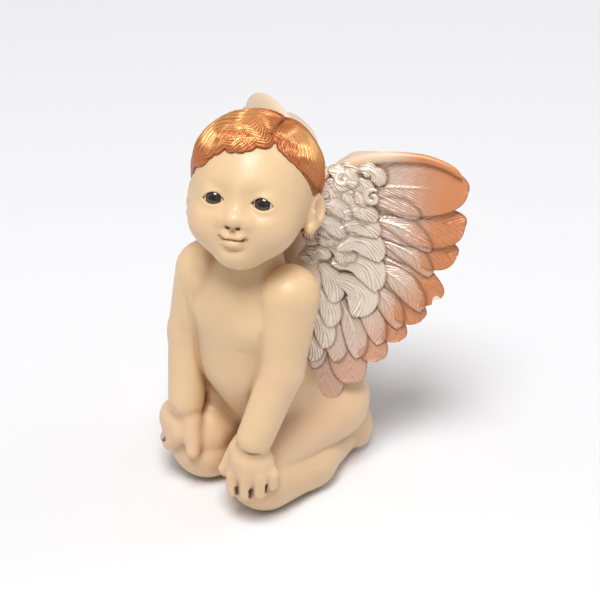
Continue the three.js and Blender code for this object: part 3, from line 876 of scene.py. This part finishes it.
def wing_lofts(side, band):
    """Every part of one wing in two lists: blade, root, edge and flight feathers; then coverts and tufts."""
    flight = []
    for i, (quill, tip, bow, above, below, layer, copper) in enumerate(FLIGHT):
        smooth_top = side < 0 and i == 0
        calm = 0.1 if smooth_top else 0.75 if i == 0 else 2.0
        combed = (28, 1.0, 0.06)
        blunt = 2.2 if i == 0 else 3.0
        cream = 0.9 if smooth_top else 0.0
        copper = copper * (0.5 if smooth_top else 1)
        flight.append(
            feather(quill, tip, bow, above, below, layer, side, combed,
                    blunt=blunt, copper=copper, pearl=0.42, calm=calm, cream=cream)
        )  # fmt: skip
    flight += [leading_edge(side, band), wing_root(side), wing_blade(side)]
    coverts = []
    for i, (quill, tip, bow, half, layer) in enumerate(COVERTS):
        copper = (0.0, 0.35, 0.5, 0.6, 0.5, 0.3)[i] if i < 6 else 0.0
        pearl = 0.6 if i < 9 else 1.0
        combed = (24, 0.9, 0.06) if i < 9 else (7, 0.72, 0.12)
        shape = (quill, tip, bow, half, half, layer)
        coverts.append(feather(*shape, side, combed, (44, 44), 2.2, copper, pearl))
    return flight, coverts + tufts(side) + [curl(*c, side) for c in CURLS]


# ------------------------------------------------------------------ materials
class Finish:
    """A node material under construction, with short calls for the nodes that the finishes share."""

    def __init__(self, name):
        self.material = bpy.data.materials.new(name)
        self.material.use_nodes = True
        self.tree = self.material.node_tree
        self.shader = self.tree.nodes["Principled BSDF"]

    def node(self, kind, inputs=None, **settings):
        made = self.tree.nodes.new(kind)
        for key, value in settings.items():
            setattr(made, key, value)
        for key, value in (inputs or {}).items():
            self.put(made.inputs[key], value)
        return made

    def put(self, socket, value):
        if isinstance(value, bpy.types.NodeSocket):
            self.tree.links.new(value, socket)
        else:
            socket.default_value = value

    def set(self, **inputs):
        for key, value in inputs.items():
            self.put(self.shader.inputs[key.replace("_", " ")], value)

    def value(self, name):
        return self.node("ShaderNodeAttribute", attribute_name=name).outputs["Fac"]

    def place(self, scale=1.0, stretch=(1, 1, 1), uv=False):
        source = self.node("ShaderNodeTexCoord").outputs["UV" if uv else "Object"]
        sizes = [scale * s for s in stretch]
        return self.node("ShaderNodeMapping", {"Vector": source, "Scale": sizes}).outputs[0]

    def noise(self, scale, detail=3.0, place=None, distortion=0.0):
        inputs = {"Scale": scale, "Detail": detail, "Distortion": distortion, "Vector": place or self.place()}
        return self.node("ShaderNodeTexNoise", inputs).outputs["Fac"]

    def ramp(self, factor, *stops):
        made = self.node("ShaderNodeValToRGB", {"Fac": factor})
        elements = made.color_ramp.elements
        while len(elements) < len(stops):
            elements.new(0.5)
        for element, (at, shade) in zip(elements, stops):
            element.position = at
            element.color = (*shade, 1) if isinstance(shade, tuple) else (shade, shade, shade, 1)
        return made.outputs["Color"]

    def mix(self, factor, a, b, mode="MIX"):
        made = self.node("ShaderNodeMix", data_type="RGBA", blend_type=mode)
        for socket, value in ((made.inputs[0], factor), (made.inputs[6], a), (made.inputs[7], b)):
            self.put(socket, (*value, 1) if isinstance(value, tuple) and len(value) == 3 else value)
        return made.outputs[2]

    def math(self, operation, a, b=0.0, clamp=False, c=None):
        made = self.node("ShaderNodeMath", operation=operation, use_clamp=clamp)
        self.put(made.inputs[0], a)
        self.put(made.inputs[1], b)
        if c is not None:
            self.put(made.inputs[2], c)
        return made.outputs[0]

    def bump(self, height, distance, strength=1.0, below=None):
        inputs = {"Height": height, "Distance": distance, "Strength": strength}
        if below is not None:
            inputs["Normal"] = below
        return self.node("ShaderNodeBump", inputs).outputs[0]


def skin_finish(c):
    """Cream cast resin: a cloudy cream, peach sprayed on by the tint value, brown antiquing with painted
    shade in the creases, and near-black painted shade in the finger gaps and nostrils.
    """
    f = Finish("cream_resin")
    cloud = f.noise(70, 4)
    base = f.mix(f.ramp(cloud, (0.35, 0.0), (0.7, 1.0)), tuple(c.cream), tuple(x * 0.93 for x in c.cream))
    base = f.mix(f.math("MULTIPLY", f.value("tint"), 0.5), base, tuple(c.peach))
    # Brown antiquing with painted shade, strongest deep in the creases.
    base = f.mix(f.math("MULTIPLY", f.value("wash_and_shade"), 0.8, True), base, (0.42, 0.2, 0.085))
    # Near-black painted shade, with some dark antiquing, in the finger gaps and nostrils.
    base = f.mix(f.value("recess_wash_and_shade"), base, (0.07, 0.03, 0.014))
    f.set(Base_Color=base, Roughness=f.ramp(f.noise(300, 3), (0.3, 0.36), (0.7, 0.46)))
    f.set(Subsurface_Weight=0.12, Subsurface_Radius=(1.0, 0.5, 0.3), Subsurface_Scale=0.0012)
    f.set(Specular_IOR_Level=0.45, Coat_Weight=0.12, Coat_Roughness=0.25)
    fine = f.bump(f.noise(1600, 4), 0.00003, 0.5)
    f.set(Normal=f.bump(f.noise(260, 2), 0.00008, 0.5, fine))
    return f.material


def hair_finish(c):
    """Copper lustre paint, gilding with a painted highlight on the combed ridges, and red-brown antiquing
    with painted shade in the grooves.
    """
    f = Finish("copper_hair")
    lines = f.noise(1, 3, f.place(1.0, (0.35, 3.2, 1), uv=True))
    height = f.math("MULTIPLY_ADD", f.value("ridge"), 0.75, c=f.math("MULTIPLY", lines, 0.5))
    copper = tuple(c.copper)
    deep = tuple(x * 0.22 for x in copper)
    # From painted shade in the grooves up to gilding with a painted highlight on the crests.
    base = f.ramp(height, (0.14, deep), (0.4, copper), (0.66, copper), (0.95, tuple(c.gold_and_highlight)))
    f.set(Base_Color=base, Metallic=0.55, Roughness=f.ramp(lines, (0.3, 0.32), (0.8, 0.46)))
    f.set(Normal=f.bump(lines, 0.00012, 0.7))
    return f.material


def wing_finish(c):
    """Pearl at the root, dusty pink between, copper at the tips, gilding and painted highlight on the combed
    lines, brown antiquing with painted shade in the grooves, and painted shade in the creases under higher
    feathers. The fine barbs are lines in the feather's own measure, leaving the quill aslant."""
    f = Finish("pearl_and_copper")
    uv = f.node("ShaderNodeTexCoord").outputs["UV"]
    barb = f.node("ShaderNodeSeparateXYZ", {"Vector": uv}).outputs[1]
    warp = f.math("MULTIPLY", f.noise(0.5, 2, uv), 4.0)
    barbs = f.math("MULTIPLY_ADD", f.math("SINE", f.math("MULTIPLY_ADD", barb, 10.5, c=warp)), 0.5, c=0.5)
    broken = f.math("MULTIPLY", barbs, f.ramp(f.noise(0.7, 3, uv), (0.35, 0.1), (0.65, 1.0)))
    broken = f.math("MULTIPLY", broken, f.value("barbs"))
    copper, pearl, ridge = f.value("copper"), f.value("pearl"), f.value("ridge")
    patch = f.math("MULTIPLY", f.math("SUBTRACT", f.noise(160, 3), 0.5), 0.45)
    base = f.mix(f.math("ADD", pearl, patch, True), tuple(c.blush), tuple(c.pearl))
    base = f.mix(f.math("ADD", copper, patch, True), base, tuple(c.copper_wash))
    base = f.mix(f.value("cream"), base, tuple(c.wing_cream))
    # How much painted highlight the combed crests take.
    light = f.math("MULTIPLY", f.math("ADD", f.math("MULTIPLY", broken, 0.7), ridge), 0.6)
    # Brown antiquing with painted shade in the barb valleys.
    low = f.math("MULTIPLY", f.ramp(light, (0.0, 0.5), (0.28, 0.0)), f.value("barbs"))
    base = f.mix(low, base, f.mix(copper, (0.36, 0.26, 0.2), (0.24, 0.08, 0.03)))
    # Painted highlight on the crests: near white on pearl, gilding on copper.
    painted_shine = f.mix(copper, (0.98, 0.93, 0.86), tuple(c.gold_and_highlight))
    base = f.mix(f.ramp(light, (0.42, 0.0), (0.95, 0.8)), base, painted_shine)
    # Painted shade along each feather's rim and in the creases under higher feathers.
    edge, crease = f.math("MULTIPLY", f.value("edge"), 0.35), f.math("MULTIPLY", f.value("crease"), 0.64)
    dark = f.math("MAXIMUM", edge, crease)
    brown = f.mix(f.math("SUBTRACT", 1.0, pearl, True), (0.3, 0.2, 0.14), (0.13, 0.05, 0.022))
    base = f.mix(dark, base, brown)
    base = f.mix(f.ramp(f.value("chip"), (0.35, 0.0), (0.5, 1.0)), base, (0.84, 0.8, 0.74))
    f.set(Base_Color=base, Metallic=f.math("MULTIPLY", f.math("SUBTRACT", 1.0, f.value("cream"), True), 0.3))
    f.set(Roughness=f.ramp(light, (0.1, 0.48), (0.9, 0.28)))
    f.set(Normal=f.bump(broken, 0.00012, 0.9))
    return f.material


def eye_white_finish(c):
    """Glossy off-white enamel with a faint pink cast."""
    f = Finish("eye_white")
    f.set(Base_Color=f.mix(f.noise(400, 2), (0.8, 0.74, 0.66), (0.72, 0.6, 0.52)), Roughness=0.12)
    f.set(Coat_Weight=0.6, Coat_Roughness=0.03, Normal=f.bump(f.noise(500, 2), 0.00001, 0.3))
    return f.material


def iris_finish(c):
    """Dark brown glass: a nearly black pupil, brown towards the rim and a black edge, by the ring value."""
    f = Finish("dark_glass_iris")
    ring = f.value("ring")
    rays = f.math("MULTIPLY", f.noise(900, 3), 0.25)
    across = f.math("ADD", ring, f.math("SUBTRACT", rays, 0.12))
    base = f.ramp(across, (0.42, 0.003), (0.56, tuple(c.iris)), (0.9, 0.004))
    f.set(Base_Color=base, Roughness=0.04, Coat_Weight=1.0, Coat_Roughness=0.02)
    return f.material


def felt_finish(c):
    """Pressed felt: short fibres from two stretched noises, with a soft sheen."""
    f = Finish("brown_felt")
    fibres = f.noise(2600, 5, f.place(1.0, (1, 0.4, 1)), 1.5)
    base = f.ramp(fibres, (0.3, tuple(x * 0.6 for x in c.felt)), (0.7, tuple(x * 1.3 for x in c.felt)))
    f.set(Base_Color=base, Roughness=0.95, Sheen_Weight=0.4, Sheen_Roughness=0.5)
    f.set(Normal=f.bump(fibres, 0.0001, 0.8))
    return f.material


def floor_finish(c):
    """Matte pale paper."""
    f = Finish("pale_floor")
    f.set(Base_Color=f.mix(f.noise(3, 2), tuple(c.floor), tuple(x * 0.99 for x in c.floor)), Roughness=0.9)
    f.set(Specular_IOR_Level=0.1)
    return f.material


# ------------------------------------------------------------------ settings
def shade(name, default, note):
    return bpy.props.FloatVectorProperty(
        name=name, description=note, default=default, subtype="COLOR", size=3, min=0.0, max=1.0
    )


class CherubFinishes(bpy.types.PropertyGroup):
    cream: shade("Cream", (0.74, 0.52, 0.30), "Base colour of the resin skin")
    peach: shade("Peach", (0.74, 0.47, 0.32), "Colour sprayed on shoulders, knees and feet")
    copper: shade("Copper", (0.56, 0.185, 0.06), "Lustre paint of the hair")
    copper_wash: shade("Copper wash", (0.66, 0.26, 0.11), "Lustre paint of the feather tips")
    gold_and_highlight: shade("Gold", (0.98, 0.56, 0.22), "Gold rubbed on raised lines")
    pearl: shade("Pearl", (0.8, 0.68, 0.56), "Pearl paint near the wing's root")
    blush: shade("Blush", (0.68, 0.47, 0.37), "Dusty pink of the middle feathers")
    wing_cream: shade("Wing cream", (0.80, 0.60, 0.42), "Smooth front edge of the wings")
    iris: shade("Iris", (0.05, 0.02, 0.01), "Glass iris")
    felt: shade("Felt", (0.07, 0.042, 0.028), "Felt under the shins")
    floor: shade("Floor", (0.78, 0.78, 0.795), "Paper floor")


class CherubSizes(bpy.types.PropertyGroup):
    body_cell: bpy.props.FloatProperty(
        name="Body cell", description="Size of the body's surface cells",
        default=0.00045, unit="LENGTH", min=0.0002,
    )
    head_cell: bpy.props.FloatProperty(
        name="Head cell", description="Size of the head's surface cells",
        default=0.00030, unit="LENGTH", min=0.0002,
    )
    iris_radius: bpy.props.FloatProperty(
        name="Iris radius", description="Radius of the glass iris", default=0.0017, unit="LENGTH", min=0.0005
    )
    left_band: bpy.props.FloatProperty(
        name="Left edge width", description="Width of the left wing's smooth front edge", default=1.0, min=0.3
    )
    right_band: bpy.props.FloatProperty(
        name="Right edge width", description="Width of the right wing's smooth front edge",
        default=2.3, min=0.3,
    )


# ------------------------------------------------------------------ operators
class CHERUB_OT_body(bpy.types.Operator):
    """Build the kneeling body as one blended casting"""

    bl_idname = "cherub.body"
    bl_label = "Kneeling Body"

    def execute(self, context):
        cell = context.scene.cherub_sizes.body_cell / MM
        points, quads = skin_of(body_field, (-25, -34, -0.9), (23, 21, 74), cell)
        spots = [
            (np.array(KNEE[1]) + (0, -6, 2), 9), (np.array(KNEE[-1]) + (0, -6, 2), 9),
            (np.array(ANKLE[1]) + (2, 4, 2), 10), (np.array(ANKLE[-1]) + (-2, 4, 2), 10),
            ((14, -4, 20), 9), ((-16, -4, 20), 9),
            (ELBOW[1], 6), (ELBOW[-1], 6), ((9, -16, 22), 7),
        ]  # fmt: skip
        p = points.astype(np.float32)
        gap = np.full(len(p), 9.0)
        for a, b in FINGER_GAPS:
            gap = np.minimum(gap, limb(p, a, b, 0.36, 0.3))
        # Crease depth sets brown antiquing with painted shade; the finger gaps get near-black painted shade.
        wide, fine = (hollow_depth(body_field, points, reach) for reach in (2.0, 0.6))
        values = {
            "tint": near_points(points, spots),
            "wash_and_shade": 0.75 * wide**1.5 + 0.7 * fine**1.3,
            "recess_wash_and_shade": 1 - smooth(gap, 0.1, 0.32),
        }
        skin = skin_finish(context.scene.cherub_finishes)
        add_piece("body_surface", points, [quads], skin, values, slot="skin", replaces=["kneeling_body"])
        return {"FINISHED"}


class CHERUB_OT_head(bpy.types.Operator):
    """Build the head and its face"""

    bl_idname = "cherub.head"
    bl_label = "Head"

    def execute(self, context):
        cell = context.scene.cherub_sizes.head_cell / MM
        low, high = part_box("head")
        low = np.array(low) / MM - (2.4, 3.0, 2.6)
        high = np.array(high) / MM + (2.4, 2.4, 2.4)
        points, quads = skin_of(head_field, low, high, cell)
        q = (points - HEAD_CENTRE) @ HEAD_TURN
        m = q.copy()
        m[:, 0] = np.abs(q[:, 0])
        cheek, lips = ((7.4, -11.6, -6.6), 4.5), ((0, -14.6, -9.6), 2.6)
        ear, nose = ((15, 1.5, -4.0), 3.5), ((0, -15.0, -5.4), 2.2)
        blush = near_points(m, [cheek, lips, ear, nose])
        nostril = 1 - smooth(egg(m.astype(np.float32), (1.15, -15.1, -6.9), (0.4, 0.6, 0.32)), 0.0, 0.3)
        # Crease depth sets brown antiquing with painted shade; the nostrils get near-black painted shade.
        values = {
            "tint": 0.6 * blush,
            "wash_and_shade": 0.7 * hollow_depth(head_field, points, 0.8) ** 2,
            "recess_wash_and_shade": 0.55 * nostril,
        }
        skin = skin_finish(context.scene.cherub_finishes)
        add_piece("head_surface", points, [quads], skin, values, slot="skin", replaces=["head"])
        return {"FINISHED"}


class CHERUB_OT_eyes(bpy.types.Operator):
    """Build the glass eyes: an enamelled ball and a domed iris each"""

    bl_idname = "cherub.eyes"
    bl_label = "Eyes"

    def execute(self, context):
        finishes = context.scene.cherub_finishes
        white, glass = eye_white_finish(finishes), iris_finish(finishes)
        reach = context.scene.cherub_sizes.iris_radius / MM
        for side, name in ((1, "left"), (-1, "right")):
            centre = EYE * (side, 1, 1)
            around = np.linspace(0, 2 * np.pi, 64, endpoint=False)[None]
            polar = np.linspace(0.02, np.pi - 0.02, 40)[:, None]
            wide, tall = np.sin(polar) * np.cos(around), np.sin(polar) * np.sin(around)
            ball = EYE_RADIUS * np.stack(np.broadcast_arrays(wide, -np.cos(polar), tall), -1)
            points, quads, fans = loft((ball + centre) @ HEAD_TURN.T + HEAD_CENTRE)
            replaced = {"slot": "eye_white", "replaces": [f"{name}_eye"]}
            add_piece(f"{name}_eyeball", points, [quads, fans], white, **replaced)
            share = np.concatenate([np.linspace(0.03, 1, 24), np.linspace(0.9, 0.1, 6)])
            r = reach * share[:, None]
            rise = 0.14 * np.sqrt(np.clip(1 - share**2, 0, 1))[:, None] + 0.03
            rise[24:] = -0.5
            depth = -np.sqrt(EYE_RADIUS**2 - r**2) - rise
            dome = np.stack(np.broadcast_arrays(r * np.cos(around), depth, r * np.sin(around)), -1)
            points, quads, fans = loft((dome + centre) @ HEAD_TURN.T + HEAD_CENTRE)
            values = {"ring": per_point(share[:, None] * np.ones(around.shape))}
            replaced = {"slot": "iris", "replaces": [f"{name}_iris"]}
            add_piece(f"{name}_iris_dome", points, [quads, fans], glass, values, **replaced)
        return {"FINISHED"}


class CHERUB_OT_hair(bpy.types.Operator):
    """Lay the combed copper locks over their cap"""

    bl_idname = "cherub.hair"
    bl_label = "Hair"

    def execute(self, context):
        copper = hair_finish(context.scene.cherub_finishes)
        points, faces, values = joined([hair_bed()])
        uv = values.pop("uv")
        add_piece("hair_bed", points, faces, copper, values, uv, slot="hair", replaces=["hair_cap"])
        points, faces, values = hair_locks()
        uv = values.pop("uv")
        add_piece("hair_locks", points, faces, copper, values, uv, slot="hair", replaces=["hair_cap"])
        return {"FINISHED"}


class CHERUB_OT_wings(bpy.types.Operator):
    """Build both wings from flight feathers, coverts and curls"""

    bl_idname = "cherub.wings"
    bl_label = "Wings"

    def execute(self, context):
        lustre = wing_finish(context.scene.cherub_finishes)
        sizes = context.scene.cherub_sizes
        for side, name, band in ((1, "left", sizes.left_band), (-1, "right", sizes.right_band)):
            flight, coverts = wing_lofts(side, band)
            shade_creases(flight + coverts)
            for part, lofts in (("flight", flight), ("coverts", coverts)):
                points, faces, values = joined(lofts)
                uv = values.pop("uv")
                for key in ("flat", "rim", "level"):
                    del values[key]
                title = f"{name}_wing_{part}"
                add_piece(title, points, faces, lustre, values, uv, slot="wing", replaces=[f"{name}_wing"])
        return {"FINISHED"}


class CHERUB_OT_felt(bpy.types.Operator):
    """Give the felt sheet its pressed fibres"""

    bl_idname = "cherub.felt"
    bl_label = "Felt Sheet"

    def execute(self, context):
        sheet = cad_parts["felt_sheet"]
        finish = felt_finish(context.scene.cherub_finishes)
        sheet.data.materials.clear()
        sheet.data.materials.append(finish)
        return {"FINISHED"}


class CHERUB_OT_stage(bpy.types.Operator):
    """Set up the pale floor, soft lights and camera"""

    bl_idname = "cherub.stage"
    bl_label = "Stage"

    def execute(self, context):
        scene = context.scene
        reach = np.linspace(-3, 3, 25)
        x, y = np.meshgrid(reach, reach, indexing="ij")
        points = np.stack([x, y, np.full_like(x, -0.0001)], -1).reshape(-1, 3)
        i, j = np.meshgrid(np.arange(24), np.arange(24), indexing="ij")
        a = (i * 25 + j).ravel()
        mesh = bpy.data.meshes.new("floor")
        mesh.from_pydata(points.tolist(), [], np.stack([a, a + 25, a + 26, a + 1], -1).tolist())
        mesh.materials.append(floor_finish(scene.cherub_finishes))
        floor = bpy.data.objects.new("floor", mesh)
        scene.collection.objects.link(floor)
        for name, place, size, power in (
            ("key", (0.2, -0.38, 1.1), 0.45, 12.6),
            ("fill", (-0.9, -0.6, 0.6), 0.8, 1.2),
            ("rim", (0.5, 0.8, 0.8), 0.7, 2.5),
        ):
            data = bpy.data.lights.new(name, "AREA")
            data.size = size
            data.energy = power
            light = bpy.data.objects.new(name, data)
            light.location = place
            light.rotation_euler = (Vector((0, 0, 0.04)) - Vector(place)).to_track_quat("-Z", "Y").to_euler()
            scene.collection.objects.link(light)
        world = bpy.data.worlds.new("studio")
        world.use_nodes = True
        world.node_tree.nodes["Background"].inputs[0].default_value = (1.0, 1.0, 1.0, 1)
        world.node_tree.nodes["Background"].inputs[1].default_value = 0.35
        scene.world = world
        scene.view_settings.view_transform = "Standard"
        lens = bpy.data.cameras.new("camera")
        lens.sensor_width = 36.0
        lens.lens = 122.47
        camera = bpy.data.objects.new("camera", lens)
        camera.location = (0.24869, -0.30364, 0.30337)
        camera.rotation_euler = Euler((np.radians(56.5), 0, np.radians(39.0)))
        scene.collection.objects.link(camera)
        scene.camera = camera
        return {"FINISHED"}


OPERATORS = (
    CHERUB_OT_stage,
    CHERUB_OT_body,
    CHERUB_OT_head,
    CHERUB_OT_eyes,
    CHERUB_OT_hair,
    CHERUB_OT_wings,
    CHERUB_OT_felt,
)


class CHERUB_PT_panel(bpy.types.Panel):
    """Sidebar panel with the cherub's settings and its pieces"""

    bl_label = "Kneeling Cherub"
    bl_idname = "CHERUB_PT_panel"
    bl_space_type = "VIEW_3D"
    bl_region_type = "UI"
    bl_category = "Cherub"

    def draw(self, context):
        layout = self.layout
        for settings in (context.scene.cherub_sizes, context.scene.cherub_finishes):
            for key in settings.bl_rna.properties.keys():
                if key not in ("name", "rna_type"):
                    layout.prop(settings, key)
        for operator in OPERATORS:
            layout.operator(operator.bl_idname)


CLASSES = (CherubFinishes, CherubSizes, *OPERATORS, CHERUB_PT_panel)


def register():
    for cls in CLASSES:
        bpy.utils.register_class(cls)
    bpy.types.Scene.cherub_finishes = bpy.props.PointerProperty(type=CherubFinishes)
    bpy.types.Scene.cherub_sizes = bpy.props.PointerProperty(type=CherubSizes)


def unregister():
    del bpy.types.Scene.cherub_sizes
    del bpy.types.Scene.cherub_finishes
    for cls in reversed(CLASSES):
        bpy.utils.unregister_class(cls)


def main():
    register()
    for operator in OPERATORS:
        group, name = operator.bl_idname.split(".")
        getattr(getattr(bpy.ops, group), name)()


if __name__ == "__main__":
    main()
